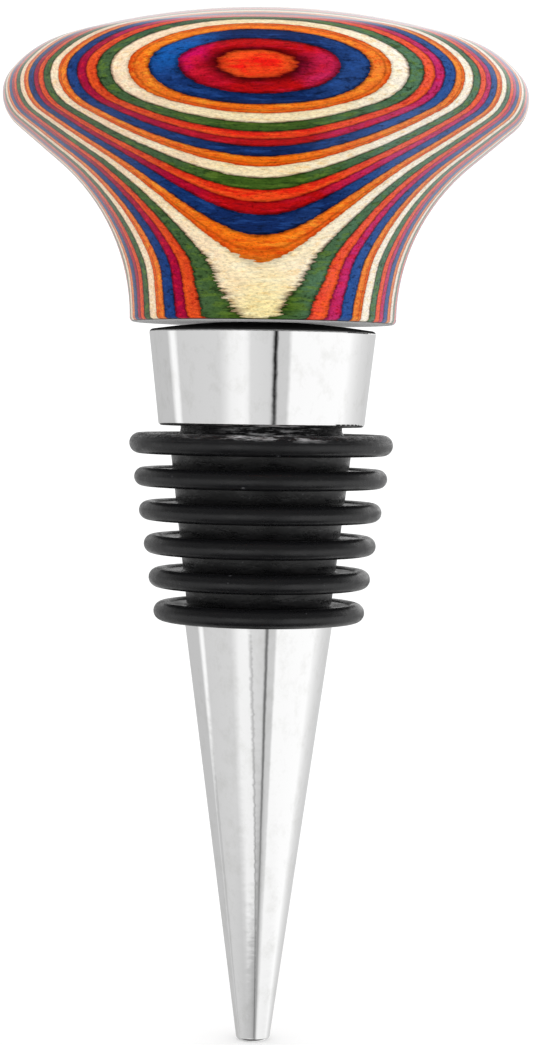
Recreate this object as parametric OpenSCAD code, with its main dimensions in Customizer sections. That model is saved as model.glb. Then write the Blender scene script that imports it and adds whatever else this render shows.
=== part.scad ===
// Wooden bottle stopper: a turned head of dyed, laminated birch on a plated tapered stopper
// with a ribbed rubber seal. The origin is on the axis, at the collar's underside, which is
// the face that stops on the lip of a bottle. +Z runs up to the crown of the head.

/* [Wooden head] */
// Diameter of the head at its rim
head_d = 50; // [44:0.5:56]
// Diameter of the head's neck at its foot
neck_d = 25.5; // [23:0.1:28]
// Height of the rim above the head's foot
rim_h = 21.3; // [20:0.1:26]
// Steepest slope of the flare, measured from the axis
flare_angle = 50; // [42:1:55]
// Radius of the rim's underside
rim_under_r = 3.6; // [2.5:0.1:4]
// Radius of the rim's upper side
rim_top_r = 3; // [2.5:0.1:4]
// Radius of the shoulder between rim and crown
shoulder_r = 8.7; // [7:0.1:12]
// Rise of the surface's normal where the rim hands over to the shoulder
shoulder_from = 37; // [30:1:45]
// Rise of the surface's normal where the shoulder hands over to the crown
crown_from = 72; // [66:1:75]
// Edge radius at the head's foot
foot_r = 0.4; // [0.2:0.1:0.8]

/* [Collar] */
// Diameter of the collar at its top edge
collar_top_d = 21.7; // [20:0.1:23]
// Diameter of the collar at its underside
collar_foot_d = 19.8; // [18.6:0.1:21]
// Height of the collar's tapered wall
collar_h = 9.2; // [7:0.1:12]
// Rise of the collar's domed top
dome_h = 0.65; // [0.5:0.05:1.2]
// Diameter of the flat seat on top of the dome
seat_d = 9; // [8:0.1:12]
// Edge radius of the collar
collar_edge_r = 0.35; // [0.2:0.05:0.6]

/* [Tapered point] */
// Diameter of the point just below the seal
point_top_d = 14.2; // [13:0.1:15]
// Diameter of the point at its blunt end
point_tip_d = 3.3; // [2.5:0.1:5]
// Length of the point below the seal
point_l = 40.5; // [30:0.1:50]
// Edge radius of the blunt end
tip_r = 0.4; // [0.2:0.05:0.6]

/* [Ribbed seal] */
// Number of ribs
rib_count = 6; // [3:1:6]
// Spacing of the ribs
rib_pitch = 3.22; // [3:0.01:3.5]
// Depth of the first rib's middle below the collar
first_rib_depth = 1.7; // [1.5:0.05:2.5]
// Diameter of the uppermost rib
rib_top_d = 25.3; // [23:0.1:27]
// Diameter of the lowest rib
rib_low_d = 20.3; // [19:0.1:22]
// Thickness of the round bead along the uppermost rib's edge
first_bead_t = 2; // [1.5:0.05:2.2]
// Thickness of the round bead along each other rib's edge
bead_t = 1.8; // [1.4:0.05:2]
// Thickness of a rib's web behind its bead
web_t = 1.3; // [1:0.05:1.4]
// Outside diameter of the sleeve at its top
sleeve_top_d = 17.9; // [16.5:0.1:18.5]
// Outside diameter of the sleeve at its foot
sleeve_foot_d = 13.5; // [13:0.1:16]
// Diameter of the sleeve's thin lip against the collar
lip_d = 15.5; // [14.5:0.1:16]
// Length of the sleeve below its lowest rib's middle
skirt_l = 1.1; // [0.9:0.05:2]
// Radius of the cove where a web meets the sleeve
root_r = 0.45; // [0.3:0.05:0.6]
// Radius of the cove where the uppermost web meets the lip
lip_root_r = 0.8; // [0.5:0.05:0.9]
// Diameter of the core that the sleeve is stretched over
core_d = 11.4; // [10.5:0.1:12]

/* [Threaded stud] */
// Outside diameter of the stud
stud_d = 6; // [5:0.5:8]
// Length of the stud inside the head
stud_in_head = 13; // [10:0.5:16]
// Length of the stud inside the collar
stud_in_collar = 8.5; // [6:0.5:10]
// Chamfer on the stud's ends
stud_chamfer = 0.6; // [0.4:0.1:0.8]
// Clearance around the stud in both of its holes
stud_gap = 0.05; // [0.02:0.01:0.15]
// Free depth beyond the stud's upper end, in the head
stud_end_gap = 1; // [0.5:0.1:2]

/* [Hidden] */
$fn = 96;
eps = 0.01;

// Heights along the axis, from the collar's underside
head_z = collar_h + dome_h;
last_rib_depth = first_rib_depth + (rib_count - 1) * rib_pitch;
seal_l = last_rib_depth + skirt_l;
tip_z = -seal_l - point_l;

// A height where two bands meet, kept to a thousandth of a millimetre so that they meet exactly
function snap(height) = round(height * 1000) / 1000;

// A band of a turned profile with straight sides, from radius r0 at height z0 to r1 at z1
module taper_band(r0, z0, r1, z1) {
    polygon([[0, z0], [r0, z0], [r1, z1], [0, z1]]);
}

// A band whose edge bulges outwards: part of a circle of radius r about [x, z]
module round_band(x, z, r, z0, z1) {
    if (x > 0)
        translate([0, z0])
            square([x, z1 - z0]);
    intersection() {
        translate([x, z])
            circle(r);
        translate([x, z0])
            square([2 * r, z1 - z0]);
    }
}

// A band whose edge curves inwards: a circle of radius r about [x, z] is cut away from it
module cove_band(x, z, r, z0, z1) {
    difference() {
        translate([0, z0])
            square([x, z1 - z0]);
        translate([x, z])
            circle(r);
    }
}

// Half of the head's section, standing on its foot at height 0
module head_section() {
    r = head_d / 2;
    neck_r = neck_d / 2;
    // The rim's lower arc starts where a straight run of the steepest slope ends
    under_x = r - rim_under_r;
    run_end = [under_x + rim_under_r * cos(flare_angle), snap(rim_h - rim_under_r * sin(flare_angle))];
    // The flare's arc starts upright above the foot's edge and ends at the straight run
    flare_r = (run_end[1] - foot_r - (run_end[0] - neck_r) / tan(flare_angle)) / tan(flare_angle / 2);
    run_start = [neck_r + flare_r * (1 - cos(flare_angle)), snap(foot_r + flare_r * sin(flare_angle))];
    // The upper side is a three-centred arch of rim, shoulder and crown
    top_x = r - rim_top_r;
    shoulder = [top_x, rim_h] - (shoulder_r - rim_top_r) * [cos(shoulder_from), sin(shoulder_from)];
    crown_r = shoulder_r + shoulder[0] / cos(crown_from);
    crown_c = shoulder[1] - (crown_r - shoulder_r) * sin(crown_from);
    rim_end = snap(rim_h + rim_top_r * sin(shoulder_from));
    shoulder_end = snap(shoulder[1] + shoulder_r * sin(crown_from));

    round_band(neck_r - foot_r, foot_r, foot_r, 0, foot_r);
    cove_band(neck_r + flare_r, foot_r, flare_r, foot_r, run_start[1]);
    taper_band(run_start[0], run_start[1], run_end[0], run_end[1]);
    round_band(under_x, rim_h, rim_under_r, run_end[1], rim_h);
    round_band(top_x, rim_h, rim_top_r, rim_h, rim_end);
    round_band(shoulder[0], shoulder[1], shoulder_r, rim_end, shoulder_end);
    round_band(0, crown_c, crown_r, shoulder_end, crown_c + crown_r);
}

// The head's turned form, with a blind hole for the stud in its foot
module turned_head() {
    translate([0, 0, head_z])
        difference() {
            rotate_extrude()
                head_section();
            translate([0, 0, -eps])
                cylinder(h = stud_in_head + stud_end_gap + eps, d = stud_d + 2 * stud_gap);
        }
}

// The head, turned in one piece from a glued blank of dyed veneers
module wooden_head() {
    color("chocolate")
        turned_head();
}

// The core, collar and point, cast in one piece and plated, with a tapped hole for the stud
module stopper_body() {
    top_r = collar_top_d / 2;
    foot_x = collar_foot_d / 2;
    dome_r = top_r - collar_edge_r;
    seat_r = seat_d / 2;
    dome_c = (seat_r * seat_r + dome_h * dome_h - dome_r * dome_r) / (2 * dome_h);
    color("silver")
        difference() {
            rotate_extrude() {
                round_band(point_tip_d / 2 - tip_r, tip_z + tip_r, tip_r, tip_z, tip_z + tip_r);
                taper_band(point_tip_d / 2, tip_z + tip_r, point_top_d / 2, -seal_l);
                taper_band(core_d / 2, -seal_l, core_d / 2, 0);
                round_band(foot_x - collar_edge_r, collar_edge_r, collar_edge_r, 0, collar_edge_r);
                taper_band(foot_x, collar_edge_r, top_r, collar_h - collar_edge_r);
                round_band(dome_r, collar_h - collar_edge_r, collar_edge_r, collar_h - collar_edge_r, collar_h);
                round_band(0, collar_h + dome_c, norm([dome_r, dome_c]), collar_h, head_z);
            }
            translate([0, 0, head_z - stud_in_collar])
                cylinder(h = stud_in_collar + eps, d = stud_d + 2 * stud_gap);
        }
}

// Outside radius of the seal's sleeve at a depth below the collar
function sleeve_r(depth) = (sleeve_top_d + (sleeve_foot_d - sleeve_top_d) * depth / seal_l) / 2;

// The cove at one side of a rib's root, from the web's face at height z towards the given side
module rib_root(z, side, wall_r, cove_r) {
    translate([0, z])
        scale([1, side])
            cove_band(wall_r + cove_r, cove_r, cove_r, 0, cove_r);
}

// One rib: a thin web that carries a round bead, with a cove below its root
module rib_section(depth, d, bead) {
    bead_x = d / 2 - bead / 2;
    translate([0, -depth - web_t / 2])
        square([bead_x, web_t]);
    translate([bead_x, -depth])
        circle(d = bead);
    rib_root(-depth - web_t / 2, -1, sleeve_r(depth), root_r);
}

// The seal, moulded in one piece and stretched over the core from the point
module ribbed_seal() {
    color("black")
        rotate_extrude()
            difference() {
                union() {
                    taper_band(sleeve_r(seal_l), -seal_l, sleeve_r(first_rib_depth), -first_rib_depth);
                    taper_band(lip_d / 2, -first_rib_depth, lip_d / 2, 0);
                    rib_root(web_t / 2 - first_rib_depth, 1, lip_d / 2, lip_root_r);
                    for (i = [0 : rib_count - 1]) {
                        depth = first_rib_depth + i * rib_pitch;
                        rib_section(depth, rib_top_d + (rib_low_d - rib_top_d) * i / (rib_count - 1),
                            i == 0 ? first_bead_t : bead_t);
                        if (i > 0)
                            rib_root(web_t / 2 - depth, 1, sleeve_r(depth), root_r);
                    }
                }
                translate([0, -seal_l - eps])
                    square([core_d / 2, seal_l + 2 * eps]);
            }
}

// The steel stud that joins the head to the collar, its lower end on the floor of the tapped hole
module threaded_stud() {
    length = stud_in_collar + stud_in_head;
    color("gray")
        translate([0, 0, head_z - stud_in_collar])
            rotate_extrude() {
                taper_band(stud_d / 2 - stud_chamfer, 0, stud_d / 2, stud_chamfer);
                taper_band(stud_d / 2, stud_chamfer, stud_d / 2, length - stud_chamfer);
                taper_band(stud_d / 2, length - stud_chamfer, stud_d / 2 - stud_chamfer, length);
            }
}

wooden_head();
stopper_body();
ribbed_seal();
threaded_stud();
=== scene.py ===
"""A turned and laminated bottle stopper on a plated point with a ribbed rubber seal."""
import math

import bmesh
import bpy
from mathutils import Matrix, Vector


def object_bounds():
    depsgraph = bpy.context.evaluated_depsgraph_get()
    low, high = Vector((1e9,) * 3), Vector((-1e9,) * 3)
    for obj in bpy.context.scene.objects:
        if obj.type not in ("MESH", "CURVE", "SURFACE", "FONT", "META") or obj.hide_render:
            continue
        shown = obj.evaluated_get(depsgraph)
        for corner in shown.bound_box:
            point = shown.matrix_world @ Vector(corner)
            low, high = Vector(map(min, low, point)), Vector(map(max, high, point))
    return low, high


MM = 0.001
COLLAR_TOP = 9.2 * MM
HEAD_FOOT = 9.85 * MM


def mix_rgb(tree, blend, factor, first, second):
    """A colour mix, each input a socket or a constant."""
    node = tree.nodes.new("ShaderNodeMix")
    node.data_type = "RGBA"
    node.blend_type = blend
    for socket, value in ((node.inputs[0], factor), (node.inputs[6], first), (node.inputs[7], second)):
        feed(tree, socket, value)
    return node.outputs[2]


def feed(tree, socket, value):
    """Links a socket to another, or sets it to a constant."""
    if isinstance(value, bpy.types.NodeSocket):
        tree.links.new(value, socket)
    else:
        socket.default_value = value


def maths(tree, operation, first, second=0.0, third=0.0, clamp=False):
    """One step of arithmetic."""
    node = tree.nodes.new("ShaderNodeMath")
    node.operation = operation
    node.use_clamp = clamp
    feed(tree, node.inputs[0], first)
    feed(tree, node.inputs[1], second)
    if len(node.inputs) > 2:
        feed(tree, node.inputs[2], third)
    return node.outputs[0]


def remap(tree, value, low, high, out_low=0.0, out_high=1.0, smooth=False):
    """Maps a range of a value onto another range, clamped."""
    node = tree.nodes.new("ShaderNodeMapRange")
    node.interpolation_type = "SMOOTHSTEP" if smooth else "LINEAR"
    feed(tree, node.inputs[0], value)
    for index, bound in enumerate((low, high, out_low, out_high), 1):
        feed(tree, node.inputs[index], bound)
    return node.outputs[0]


def stretched(tree, vector, scale):
    """Object coordinates stretched along each axis, in waves per millimetre."""
    node = tree.nodes.new("ShaderNodeVectorMath")
    node.operation = "MULTIPLY"
    feed(tree, node.inputs[0], vector)
    node.inputs[1].default_value = [s / MM for s in scale]
    return node.outputs[0]


def noise(tree, vector, scale, detail=2.0, rough=0.5):
    """Fine-grained noise, whose scale is given in waves per millimetre along each axis."""
    node = tree.nodes.new("ShaderNodeTexNoise")
    node.inputs["Scale"].default_value = 1.0
    node.inputs["Detail"].default_value = detail
    node.inputs["Roughness"].default_value = rough
    tree.links.new(stretched(tree, vector, scale), node.inputs["Vector"])
    return node.outputs[0]


def new_group(name, inputs, outputs):
    """An empty shader node group with named sockets: (name, type, default)."""
    tree = bpy.data.node_groups.new(name, "ShaderNodeTree")
    for label, kind, default in inputs:
        socket = tree.interface.new_socket(label, in_out="INPUT", socket_type=kind)
        if default is not None:
            socket.default_value = default
    for label, kind in outputs:
        tree.interface.new_socket(label, in_out="OUTPUT", socket_type=kind)
    return tree, tree.nodes.new("NodeGroupInput"), tree.nodes.new("NodeGroupOutput")


def new_material(name):
    """A material with nothing but a Principled BSDF and its output."""
    material = bpy.data.materials.new(name)
    material.use_nodes = True
    tree = material.node_tree
    tree.nodes.clear()
    shader = tree.nodes.new("ShaderNodeBsdfPrincipled")
    output = tree.nodes.new("ShaderNodeOutputMaterial")
    tree.links.new(shader.outputs[0], output.inputs[0])
    place = tree.nodes.new("ShaderNodeTexCoord").outputs["Object"]
    return material, tree, shader, place


def colour(red, green, blue):
    """A colour written as it looks on a screen, 0 to 255, as the linear values that a shader takes."""
    linear = []
    for part in (red, green, blue):
        part = part / 255
        linear.append(part / 12.92 if part <= 0.04045 else ((part + 0.055) / 1.055) ** 2.4)
    return (*linear, 1.0)


# Laminated blank: six dyes by turns, their faces looking almost straight to the front
PLY_ROUND = 4.82
PLY_FRONT = 25.8
PLY_TURN = math.radians(1.5)
PLY_TILT = math.radians(3.2)
PLY_LIFT = 0.473
# Each dye: thickness of its veneer, its colour at the heart, to the left, to the right (paler, partly painted sheen)
# and in the bright patch on the crown, and the deep and the bright colour of its streaks
DYES = (
    ("crimson", 0.68, colour(186, 12, 16), colour(166, 8, 60), colour(202, 46, 112), colour(214, 14, 106),
        colour(134, 8, 20), colour(216, 26, 52)),
    ("blue", 0.90, colour(18, 42, 94), colour(24, 60, 124), colour(48, 88, 156), colour(24, 92, 172),
        colour(12, 24, 54), colour(36, 76, 146)),
    ("orange", 0.84, colour(250, 122, 20), colour(238, 122, 40), colour(244, 138, 60), colour(244, 130, 24),
        colour(226, 68, 12), colour(254, 164, 48)),
    ("cream", 0.86, colour(255, 236, 192), colour(248, 220, 188), colour(255, 246, 230), colour(250, 222, 190),
        colour(246, 210, 146), colour(255, 246, 214)),
    ("green", 0.83, colour(62, 92, 30), colour(70, 98, 62), colour(86, 124, 98), colour(60, 96, 66),
        colour(28, 46, 20), colour(98, 128, 46)),
    ("red orange", 0.71, colour(238, 40, 18), colour(218, 74, 34), colour(244, 96, 68), colour(230, 66, 36),
        colour(184, 22, 10), colour(252, 96, 34)),
)


def dye_ramp(tree, place_in_round, tone):
    """One colour for each dye of a round, changing sharply where the veneers meet."""
    ramp = tree.nodes.new("ShaderNodeValToRGB")
    ramp.color_ramp.interpolation = "CONSTANT"
    tree.links.new(place_in_round, ramp.inputs[0])
    stops = ramp.color_ramp.elements
    while len(stops) < len(DYES):
        stops.new(0.5)
    reached = 0.0
    for stop, dye in zip(stops, DYES):
        stop.position = reached / PLY_ROUND
        stop.color = dye[2 + tone]
        reached += dye[1]
    return ramp.outputs[0]


def glue_ramp(tree, place_in_round):
    """A thin dark line at each joint of a round."""
    ramp = tree.nodes.new("ShaderNodeValToRGB")
    tree.links.new(place_in_round, ramp.inputs[0])
    wide = 0.155 / PLY_ROUND
    plan = [(0.0, 0.8), (wide, 0.0)]
    reached = 0.0
    for dye, strength in zip(DYES[:-1], (1.0, 1.0, 0.5, 1.0, 1.0)):
        reached += dye[1] / PLY_ROUND
        plan += [(reached - wide, 0.0), (reached, strength), (reached + wide, 0.0)]
    plan += [(1.0 - wide, 0.0), (1.0, 0.8)]
    # A darker line in the orange veneer, which was peeled where the log's growth had stopped
    inner = (DYES[0][1] + DYES[1][1] + 0.68 * DYES[2][1]) / PLY_ROUND
    plan += [(inner - 0.6 * wide, 0.0), (inner, 0.55), (inner + 0.6 * wide, 0.0)]
    plan.sort()
    stops = ramp.color_ramp.elements
    while len(stops) < len(plan):
        stops.new(0.5)
    for stop, (position, level) in zip(stops, plan):
        stop.position = position
        stop.color = (level, level, level, 1.0)
    return ramp.outputs[0]


def soak_ramp(tree, place_in_round, soaked):
    """How far one dye has changed towards its far side: (number of the dye, where it starts, how much)."""
    ramp = tree.nodes.new("ShaderNodeValToRGB")
    tree.links.new(place_in_round, ramp.inputs[0])
    plan = [(0.0, 0.0)]
    for index, begin, amount in soaked:
        reached = sum(dye[1] for dye in DYES[:index])
        thick = DYES[index][1]
        plan += [
            ((reached + thick * begin) / PLY_ROUND, 0.0),
            ((reached + thick * 0.96) / PLY_ROUND, amount),
            (min((reached + thick) / PLY_ROUND, 1.0), 0.0),
        ]
    stops = ramp.color_ramp.elements
    while len(stops) < len(plan):
        stops.new(0.5)
    for stop, (position, level) in zip(stops, plan):
        stop.position = position
        stop.color = (level, level, level, 1.0)
    return ramp.outputs[0]


def veneer_stack():
    """Colour, glue line and fibre of a stack of dyed veneers, from the place in the blank."""
    tree, start, end = new_group(
        "veneer stack",
        [("Place", "NodeSocketVector", None)],
        [("Dye", "NodeSocketColor"), ("Glue", "NodeSocketFloat"), ("Fibre", "NodeSocketFloat")],
    )
    place = start.outputs[0]
    depth = tree.nodes.new("ShaderNodeVectorMath")
    depth.operation = "DOT_PRODUCT"
    depth.inputs[1].default_value = [
        part / MM
        for part in (
            -math.sin(PLY_TURN) * math.cos(PLY_TILT),
            -math.cos(PLY_TURN) * math.cos(PLY_TILT),
            math.sin(PLY_TILT),
        )
    ]
    tree.links.new(place, depth.inputs[0])
    level = maths(tree, "SUBTRACT", depth.outputs["Value"], PLY_LIFT)
    # The press squeezed the middle of the stack a little more than its faces
    away = maths(tree, "SUBTRACT", level, 17.0)
    level = maths(tree, "MULTIPLY_ADD", maths(tree, "MULTIPLY", away, away), -0.0021, level)
    # The fibres leave ragged edges along the grain, which runs from side to side, most of all
    # low on the head, where the cut runs almost along the veneers
    parts = tree.nodes.new("ShaderNodeSeparateXYZ")
    tree.links.new(place, parts.inputs[0])
    across = maths(tree, "DIVIDE", parts.outputs[0], MM)
    middle = remap(tree, maths(tree, "ABSOLUTE", across), 9.5, 5.5, smooth=True)
    # There it is the joint of the pale veneer and the green one behind it that is torn
    torn = maths(tree, "MULTIPLY", remap(tree, level, 13.6, 13.2, 0.1, 1.0), remap(tree, level, 12.1, 12.5, 0.3, 1.0))
    middle = maths(tree, "MULTIPLY", middle, torn)
    low = maths(tree, "MULTIPLY", middle, remap(tree, parts.outputs[2], 19.0 * MM, 14.0 * MM, smooth=True))
    tears = maths(tree, "SUBTRACT", noise(tree, place, (0.35, 1.5, 4.5), 3.0, 0.7), 0.5)
    tears = maths(tree, "MULTIPLY", tears, maths(tree, "MULTIPLY_ADD", low, 0.5, 0.2))
    broad = maths(tree, "SUBTRACT", noise(tree, place, (0.12, 0.12, 0.12), 1.0), 0.5)
    level = maths(tree, "ADD", maths(tree, "MULTIPLY_ADD", broad, 0.2, level), tears)
    # Towards the foot the veneers lean forward a little
    lean = remap(tree, parts.outputs[2], 15.8 * MM, 12.8 * MM, 0.0, 0.28, smooth=True)
    level = maths(tree, "ADD", level, lean)
    # Just above the foot they also bend, forward to the left and back beside the middle
    foot = remap(tree, parts.outputs[2], 14.5 * MM, 11.0 * MM, smooth=True)
    bend = maths(tree, "ADD", remap(tree, across, -3.0, -11.0, 0.0, 0.45),
        remap(tree, across, 0.5, 2.5, 0.0, -0.17, smooth=True))
    bend = maths(tree, "ADD", bend, remap(tree, across, 4.5, 8.0, 0.0, 0.17, smooth=True))
    level = maths(tree, "MULTIPLY_ADD", foot, bend, level)
    rounds = maths(tree, "DIVIDE", maths(tree, "SUBTRACT", PLY_FRONT + 12 * PLY_ROUND, level), PLY_ROUND)
    within = maths(tree, "FRACT", rounds)
    # The dye is deepest at the heart and changes towards the sides, with ragged blotches between; the paler colours
    # to the right are partly painted sheen, light that whitens that side
    blotch = maths(tree, "SUBTRACT", noise(tree, place, (0.2, 0.3, 0.35), 3.0, 0.65), 0.5)
    narrow = remap(tree, parts.outputs[2], 20.0 * MM, 13.0 * MM, 1.0, 1.8)
    shifted = maths(tree, "MULTIPLY_ADD", blotch, 14.0, maths(tree, "MULTIPLY", across, narrow))
    heart = dye_ramp(tree, within, 0)
    dye = mix_rgb(tree, "MIX", remap(tree, shifted, -3.0, -11.0), heart, dye_ramp(tree, within, 1))
    # The right-hand colours carry painted sheen on top of the dye's own paler tone
    dye = mix_rgb(tree, "MIX", remap(tree, shifted, 3.0, 12.0), dye, dye_ramp(tree, within, 2))
    patch = tree.nodes.new("ShaderNodeVectorMath")
    patch.operation = "DISTANCE"
    patch.inputs[1].default_value = (-8.8 * MM, -22.5 * MM, 35.3 * MM)
    tree.links.new(place, patch.inputs[0])
    near = maths(tree, "MULTIPLY_ADD", blotch, -6.0, maths(tree, "DIVIDE", patch.outputs["Value"], MM))
    dye = mix_rgb(tree, "MIX", remap(tree, near, 5.5, 3.0), dye, dye_ramp(tree, within, 3))
    # Streaks of deeper dye follow the grain
    streak = remap(tree, noise(tree, place, (0.6, 2.2, 3.0), 4.0, 0.7), 0.5, 0.66, smooth=True)
    dye = mix_rgb(tree, "MIX", maths(tree, "MULTIPLY", streak, 0.75), dye, dye_ramp(tree, within, 4))
    pale = remap(tree, noise(tree, place, (0.25, 1.6, 2.2), 3.0, 0.65), 0.5, 0.64, smooth=True)
    dye = mix_rgb(tree, "MIX", maths(tree, "MULTIPLY", pale, 0.6), dye, dye_ramp(tree, within, 5))
    # The orange veneer has soaked up deeper dye from behind, and the red orange one has lost some
    uneven = remap(tree, noise(tree, place, (0.3, 1.0, 1.8), 3.0, 0.6), 0.38, 0.58, 0.4, 1.0)
    deeper = maths(tree, "MULTIPLY", soak_ramp(tree, within, [(2, 0.38, 0.95)]), uneven)
    dye = mix_rgb(tree, "MIX", deeper, dye, dye_ramp(tree, within, 4))
    lighter = maths(tree, "MULTIPLY", soak_ramp(tree, within, [(5, 0.5, 0.9)]), uneven)
    dye = mix_rgb(tree, "MIX", lighter, dye, dye_ramp(tree, within, 5))
    # The foremost veneer is turned down to a thin patch, brightest at its middle
    rim = maths(tree, "MULTIPLY", remap(tree, level, 25.5, 25.76), remap(tree, level, 25.86, 25.8))
    dye = mix_rgb(tree, "MULTIPLY", rim, dye, (0.4, 0.3, 0.5, 1.0))
    thin = remap(tree, maths(tree, "MULTIPLY_ADD", blotch, 0.6, level), 25.88, 25.98, smooth=True)
    dye = mix_rgb(tree, "MIX", maths(tree, "MULTIPLY", thin, 0.85), dye, colour(240, 14, 18))
    # At the foot the pale veneer has gone yellow
    gone = maths(tree, "MULTIPLY", remap(tree, parts.outputs[2], 14.5 * MM, 11.0 * MM),
        remap(tree, maths(tree, "ABSOLUTE", across), 4.0, 1.0))
    dye = mix_rgb(tree, "MULTIPLY", gone, dye, (0.95, 0.96, 0.76, 1.0))
    fibre = noise(tree, place, (2.0, 4.5, 6.0), 4.0, 0.75)
    worn = remap(tree, noise(tree, place, (1.0, 1.5, 1.5), 2.0, 0.6), 0.3, 0.6, 0.55, 1.0)
    glue = maths(tree, "MULTIPLY", glue_ramp(tree, within), worn)
    tree.links.new(dye, end.inputs[0])
    tree.links.new(glue, end.inputs[1])
    tree.links.new(fibre, end.inputs[2])
    return tree


def laminated_wood():
    """Dyed veneers under a clear satin lacquer."""
    material, tree, shader, place = new_material("laminated_wood")
    stack = tree.nodes.new("ShaderNodeGroup")
    stack.node_tree = veneer_stack()
    tree.links.new(place, stack.inputs[0])
    dye, glue, fibre = stack.outputs
    tone = mix_rgb(tree, "MULTIPLY", 1.0, dye, remap(tree, fibre, 0.3, 0.7, 0.68, 1.26))
    pores = remap(tree, noise(tree, place, (2.6, 5.0, 5.0), 3.0, 0.7), 0.32, 0.44, 1.0, 0.0)
    channels = tree.nodes.new("ShaderNodeSeparateColor")
    tree.links.new(dye, channels.inputs[0])
    depth = remap(tree, channels.outputs["Blue"], 0.3, 0.5, 0.6, 0.2)
    tone = mix_rgb(tree, "MULTIPLY", maths(tree, "MULTIPLY", pores, depth), tone, (0.3, 0.22, 0.2, 1.0))
    tone = mix_rgb(tree, "MULTIPLY", maths(tree, "MULTIPLY", glue, 0.95), tone, (0.1, 0.05, 0.05, 1.0))
    # The end face at the foot is painted near black as painted shade of the narrow gap over the collar, and has no
    # lacquer coat
    parts = tree.nodes.new("ShaderNodeSeparateXYZ")
    tree.links.new(place, parts.inputs[0])
    shaded_foot = remap(tree, parts.outputs[2], HEAD_FOOT + 0.12 * MM, HEAD_FOOT + 0.02 * MM)
    tone = mix_rgb(tree, "MIX", shaded_foot, tone, (0.012, 0.01, 0.01, 1.0))
    tree.links.new(tone, shader.inputs["Base Color"])
    shader.inputs["Roughness"].default_value = 0.5
    shader.inputs["Specular IOR Level"].default_value = 0.0
    shader.inputs["Sheen Weight"].default_value = 1.0
    shader.inputs["Sheen Roughness"].default_value = 0.2
    # The lacquer shines mostly where it is seen at a flat angle
    facing = tree.nodes.new("ShaderNodeLayerWeight")
    facing.inputs["Blend"].default_value = 0.5
    shine = remap(tree, facing.outputs["Facing"], 0.25, 0.7, 0.04, 0.95)
    # It is thin on the upright sides, where it was rubbed down along the turning
    sides = remap(tree, parts.outputs[2], 31.0 * MM, 28.0 * MM)
    thinner = maths(tree, "MULTIPLY", sides, remap(tree, facing.outputs["Facing"], 0.82, 0.95))
    shine = maths(tree, "MULTIPLY", shine, maths(tree, "MULTIPLY_ADD", thinner, -0.4, 1.0))
    shine = maths(tree, "MULTIPLY", shine, maths(tree, "SUBTRACT", 1.0, shaded_foot))
    tree.links.new(shine, shader.inputs["Coat Weight"])
    shader.inputs["Coat IOR"].default_value = 1.7
    shader.inputs["Coat Roughness"].default_value = 0.2
    bump = tree.nodes.new("ShaderNodeBump")
    bump.inputs["Strength"].default_value = 0.3
    bump.inputs["Distance"].default_value = 0.03 * MM
    tree.links.new(fibre, bump.inputs["Height"])
    tree.links.new(bump.outputs[0], shader.inputs["Normal"])
    return material


def chrome_plate():
    """Bright plate that follows the slight waves of the polished casting."""
    material, tree, shader, place = new_material("chrome_plate")
    parts = tree.nodes.new("ShaderNodeSeparateXYZ")
    tree.links.new(place, parts.inputs[0])
    # The dome under the head is painted near black as painted shade of the narrow gap under the wood, and left rough
    # and not metallic
    shaded_dome = remap(tree, parts.outputs[2], COLLAR_TOP - 0.3 * MM, COLLAR_TOP - 0.2 * MM)
    smudge = remap(tree, noise(tree, place, (0.5, 0.5, 0.35), 4.0, 0.7), 0.5, 0.7)
    plate = mix_rgb(tree, "MIX", smudge, (0.95, 0.95, 0.95, 1.0), (0.86, 0.86, 0.85, 1.0))
    tone = mix_rgb(tree, "MIX", shaded_dome, plate, (0.02, 0.02, 0.02, 1.0))
    tree.links.new(tone, shader.inputs["Base Color"])
    tree.links.new(maths(tree, "SUBTRACT", 1.0, shaded_dome), shader.inputs["Metallic"])
    smear = noise(tree, place, (0.4, 0.4, 0.12), 3.0, 0.6)
    smooth = remap(tree, smear, 0.35, 0.75, 0.0, 0.06)
    tree.links.new(maths(tree, "MAXIMUM", shaded_dome, smooth), shader.inputs["Roughness"])
    bump = tree.nodes.new("ShaderNodeBump")
    bump.inputs["Strength"].default_value = 1.0
    bump.inputs["Distance"].default_value = 0.006 * MM
    waves = noise(tree, place, (0.8, 0.8, 1.1), 1.4, 0.5)
    tree.links.new(waves, bump.inputs["Height"])
    tree.links.new(bump.outputs[0], shader.inputs["Normal"])
    return material


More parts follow.
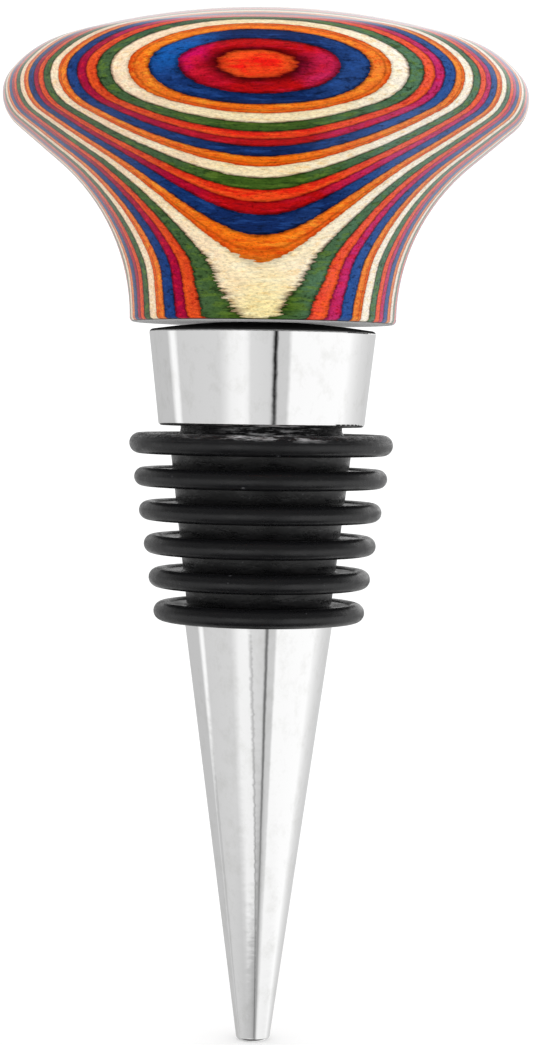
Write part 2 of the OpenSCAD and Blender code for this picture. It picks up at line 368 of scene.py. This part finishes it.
def seal_rubber():
    """Black moulded rubber with a satin skin, a little dust, and rough flash under the collar, with painted
    highlights on the flash.
    """
    material, tree, shader, place = new_material("seal_rubber")
    dust = remap(tree, noise(tree, place, (1.6, 1.6, 1.6), 2.0, 0.5), 0.72, 0.78, 0.0, 0.5)
    tone = mix_rgb(tree, "MIX", dust, (0.007, 0.007, 0.008, 1.0), (0.16, 0.16, 0.17, 1.0))
    parts = tree.nodes.new("ShaderNodeSeparateXYZ")
    tree.links.new(place, parts.inputs[0])
    # Thin flash was squeezed up between the collar and the first rib; its glints are painted on it as pale painted
    # highlights
    squeezed = remap(tree, parts.outputs[2], -1.4 * MM, -0.8 * MM)
    painted_flash_glints = remap(tree, noise(tree, place, (0.45, 0.45, 3.2), 4.0, 0.7), 0.5, 0.64)
    # The painted highlights are strongest on one side, right of the front
    aside = maths(tree, "ABSOLUTE", maths(tree, "SUBTRACT", parts.outputs[0], 1.4 * MM))
    glint_side = maths(tree, "MULTIPLY", remap(tree, aside, 6.0 * MM, 3.0 * MM, smooth=True),
        remap(tree, parts.outputs[1], 0.0, -3.0 * MM))
    painted_flash_glints = maths(tree, "MULTIPLY", painted_flash_glints, maths(tree, "MULTIPLY_ADD", glint_side, 0.85, 0.15))
    # Painted highlights: pale grey streaks on the flash where it catches the light
    tone = mix_rgb(tree, "MIX", maths(tree, "MULTIPLY", squeezed, painted_flash_glints), tone, (0.62, 0.62, 0.63, 1.0))
    tree.links.new(tone, shader.inputs["Base Color"])
    shader.inputs["IOR"].default_value = 1.45
    fine = noise(tree, place, (2.0, 2.0, 2.0), 4.0, 0.6)
    smears = noise(tree, place, (0.35, 0.35, 1.6), 3.0, 0.65)
    tree.links.new(remap(tree, smears, 0.35, 0.65, 0.2, 0.42), shader.inputs["Roughness"])
    crumpled = noise(tree, place, (0.9, 0.9, 2.4), 4.0, 0.75)
    height = maths(tree, "MULTIPLY_ADD", maths(tree, "MULTIPLY", squeezed, crumpled), 9.0, fine)
    height = maths(tree, "MULTIPLY_ADD", smears, 0.8, height)
    bump = tree.nodes.new("ShaderNodeBump")
    bump.inputs["Strength"].default_value = 0.6
    bump.inputs["Distance"].default_value = 0.05 * MM
    tree.links.new(height, bump.inputs["Height"])
    tree.links.new(bump.outputs[0], shader.inputs["Normal"])
    return material


def stud_steel():
    """Plain steel of the stud inside."""
    material, tree, shader, place = new_material("stud_steel")
    shader.inputs["Base Color"].default_value = (0.5, 0.5, 0.49, 1.0)
    shader.inputs["Metallic"].default_value = 1.0
    tree.links.new(remap(tree, noise(tree, place, (1.0, 1.0, 4.0)), 0.3, 0.7, 0.3, 0.5), shader.inputs["Roughness"])
    return material


def dress(node, material):
    """Gives a CAD node its finish."""
    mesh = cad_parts[node].data
    mesh.materials.clear()
    mesh.materials.append(material)


def panel_ramp(tree, turn, plan):
    """Grey levels round the tent, from (angle, level as it looks on a screen)."""
    ramp = tree.nodes.new("ShaderNodeValToRGB")
    tree.links.new(turn, ramp.inputs[0])
    stops = ramp.color_ramp.elements
    while len(stops) < len(plan):
        stops.new(0.5)
    for stop, (angle, level) in zip(stops, plan):
        stop.position = angle / 360 + 0.5
        stop.color = [part / 0.95 for part in colour(level, level, level)[:3]] + [1.0]
    return ramp.outputs[0]


def studio():
    """A white tent: even light, and pale and grey panels that only polished surfaces show."""
    world = bpy.data.worlds.new("studio")
    bpy.context.scene.world = world
    world.use_nodes = True
    tree = world.node_tree
    tree.nodes.clear()
    rays = tree.nodes.new("ShaderNodeLightPath")
    look = tree.nodes.new("ShaderNodeTexCoord")
    parts = tree.nodes.new("ShaderNodeSeparateXYZ")
    tree.links.new(look.outputs["Generated"], parts.inputs[0])
    side = maths(tree, "ARCTAN2", parts.outputs[0], maths(tree, "MULTIPLY", parts.outputs[1], -1.0))
    turn = maths(tree, "MULTIPLY_ADD", side, 0.5 / math.pi, 0.5)
    height = maths(tree, "ARCSINE", parts.outputs[2])
    high = panel_ramp(tree, turn, [
        (-180, 190), (-114, 193), (-107, 250), (-102, 250), (-97, 206), (-46, 211), (-39, 226),
        (-33, 241), (-20, 247), (-15, 240), (-12, 218), (8, 212), (10.5, 190), (12, 36), (14.6, 36),
        (17, 203), (27, 205), (31, 250), (100, 254), (108, 240), (123, 221), (144, 208), (180, 205),
    ])
    low = panel_ramp(tree, turn, [
        (-180, 200), (-116, 187), (-90, 198), (-30, 190), (-12, 184), (2, 166), (6, 142), (15, 148),
        (19, 183), (22, 210), (26, 230), (35, 243), (60, 236), (90, 220), (123, 212), (180, 220),
    ])
    sink = remap(tree, height, math.radians(-23), math.radians(-29))
    tone = mix_rgb(tree, "MIX", sink, high, low)
    # The dark gap in front opens less wide lower down, so it is fainter on the point
    front = remap(tree, maths(tree, "ABSOLUTE", maths(tree, "SUBTRACT", side, math.radians(13.3))),
        math.radians(3.2), math.radians(2.4))
    faint = maths(tree, "MULTIPLY", front, remap(tree, height, math.radians(-12), math.radians(-15)))
    tone = mix_rgb(tree, "MIX", maths(tree, "MULTIPLY", faint, 0.3), tone, colour(196, 196, 196))
    # The bright gap between the panels to the left ends above the lower half of the point
    gone = remap(tree, maths(tree, "ABSOLUTE", maths(tree, "ADD", side, math.radians(104.5))),
        math.radians(8), math.radians(4))
    gone = maths(tree, "MULTIPLY", gone, remap(tree, height, math.radians(-16), math.radians(-18.5)))
    tone = mix_rgb(tree, "MIX", gone, tone, colour(196, 196, 196))
    # Low in front a white panel ends at a slanting edge, seen as a thin dark line
    edge = maths(tree, "MULTIPLY_ADD", maths(tree, "ADD", height, math.radians(22)), -2.5, math.radians(-11))
    panel = maths(tree, "MULTIPLY", remap(tree, side, math.radians(-34), math.radians(-24)),
        remap(tree, maths(tree, "SUBTRACT", edge, side), 0.0, math.radians(1)))
    panel = maths(tree, "MULTIPLY", panel, remap(tree, height, math.radians(-28), math.radians(-26.4)))
    panel = maths(tree, "MULTIPLY", panel, remap(tree, height, math.radians(-20), math.radians(-22)))
    tone = mix_rgb(tree, "MIX", maths(tree, "MULTIPLY", panel, 0.9), tone, colour(247, 247, 247))
    gap = maths(tree, "ABSOLUTE", maths(tree, "SUBTRACT", side, edge))
    line = remap(tree, gap, math.radians(1.4), math.radians(4.0), 1.0, 0.0)
    line = maths(tree, "MULTIPLY", line, remap(tree, height, math.radians(-20), math.radians(-21.5)))
    tone = mix_rgb(tree, "MULTIPLY", maths(tree, "MULTIPLY", line, 0.35), tone, (0.2, 0.2, 0.2, 1.0))
    above = remap(tree, height, math.radians(3), math.radians(14))
    below = remap(tree, height, math.radians(-36), math.radians(-52))
    tone = mix_rgb(tree, "MIX", above, tone, (0.15, 0.15, 0.15, 1.0))
    tone = mix_rgb(tree, "MIX", below, tone, (0.05, 0.05, 0.05, 1.0))
    # Behind the piece the tent is white above and below its grey panels, brightest to the right,
    # and open to the dark room overhead
    back = remap(tree, maths(tree, "ABSOLUTE", side), math.radians(95), math.radians(125))
    outside = maths(tree, "ADD", remap(tree, height, math.radians(1.5), math.radians(2.3)),
        remap(tree, height, math.radians(-37), math.radians(-41)))
    outside = maths(tree, "MULTIPLY", outside, remap(tree, height, math.radians(40), math.radians(22)))
    glow = remap(tree, parts.outputs[0], -0.2, 0.2, 0.55, 1.0)
    tone = mix_rgb(tree, "MIX", maths(tree, "MULTIPLY", back, outside, clamp=True), tone, glow)
    even = tree.nodes.new("ShaderNodeBackground")
    even.inputs[0].default_value = (1.0, 1.0, 1.0, 1.0)
    even.inputs[1].default_value = 1.15
    shown = tree.nodes.new("ShaderNodeBackground")
    tree.links.new(tone, shown.inputs[0])
    choose = tree.nodes.new("ShaderNodeMixShader")
    tree.links.new(rays.outputs["Is Glossy Ray"], choose.inputs[0])
    tree.links.new(even.outputs[0], choose.inputs[1])
    tree.links.new(shown.outputs[0], choose.inputs[2])
    output = tree.nodes.new("ShaderNodeOutputWorld")
    tree.links.new(choose.outputs[0], output.inputs[0])


def white_floor(height):
    """A pale floor that shows white, and keeps the shadow."""
    shape = bmesh.new()
    bmesh.ops.create_grid(shape, x_segments=1, y_segments=1, size=1.5)
    bmesh.ops.translate(shape, verts=shape.verts, vec=(0, 0, height))
    mesh = bpy.data.meshes.new("floor")
    shape.to_mesh(mesh)
    shape.free()
    floor = bpy.data.objects.new("floor", mesh)
    bpy.context.scene.collection.objects.link(floor)
    material, tree, shader, place = new_material("floor_paint")
    shader.inputs["Base Color"].default_value = (0.8, 0.8, 0.8, 1.0)
    shader.inputs["Roughness"].default_value = 1.0
    shader.inputs["Specular IOR Level"].default_value = 0.0
    shader.inputs["Emission Color"].default_value = (1.0, 1.0, 1.0, 1.0)
    rays = tree.nodes.new("ShaderNodeLightPath")
    tree.links.new(maths(tree, "MULTIPLY", rays.outputs["Is Camera Ray"], 0.22), shader.inputs["Emission Strength"])
    mesh.materials.append(material)
    floor.visible_glossy = False
    return floor


def camera():
    """The photograph's view: a little below the middle of the piece, tipped down and rolled."""
    data = bpy.data.cameras.new("camera")
    data.sensor_fit = "VERTICAL"
    data.sensor_height = 36.0
    data.lens = 2536.2 / 1045 * data.sensor_height
    data.clip_start = 0.01
    holder = bpy.data.objects.new("camera", data)
    bpy.context.scene.collection.objects.link(holder)
    holder.matrix_world = (
        Matrix.Translation((0, -243.56 * MM, 2.67 * MM))
        @ Matrix.Rotation(-math.radians(0.146), 4, "Z")
        @ Matrix.Rotation(math.pi / 2 - math.radians(2.798), 4, "X")
        @ Matrix.Rotation(math.radians(0.82), 4, "Z")
    )
    bpy.context.scene.camera = holder


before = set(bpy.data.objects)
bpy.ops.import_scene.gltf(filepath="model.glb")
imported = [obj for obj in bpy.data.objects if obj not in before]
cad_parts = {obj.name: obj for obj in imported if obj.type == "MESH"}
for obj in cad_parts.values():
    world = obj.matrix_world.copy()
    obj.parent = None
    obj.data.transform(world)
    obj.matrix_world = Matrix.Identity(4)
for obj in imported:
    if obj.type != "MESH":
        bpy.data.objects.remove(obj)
cad_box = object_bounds()
camera()
dress("wooden_head", laminated_wood())
dress("stopper_body", chrome_plate())
dress("ribbed_seal", seal_rubber())
dress("threaded_stud", stud_steel())
studio()
white_floor(cad_box[0][2])
bpy.context.scene.view_settings.view_transform = "Standard"
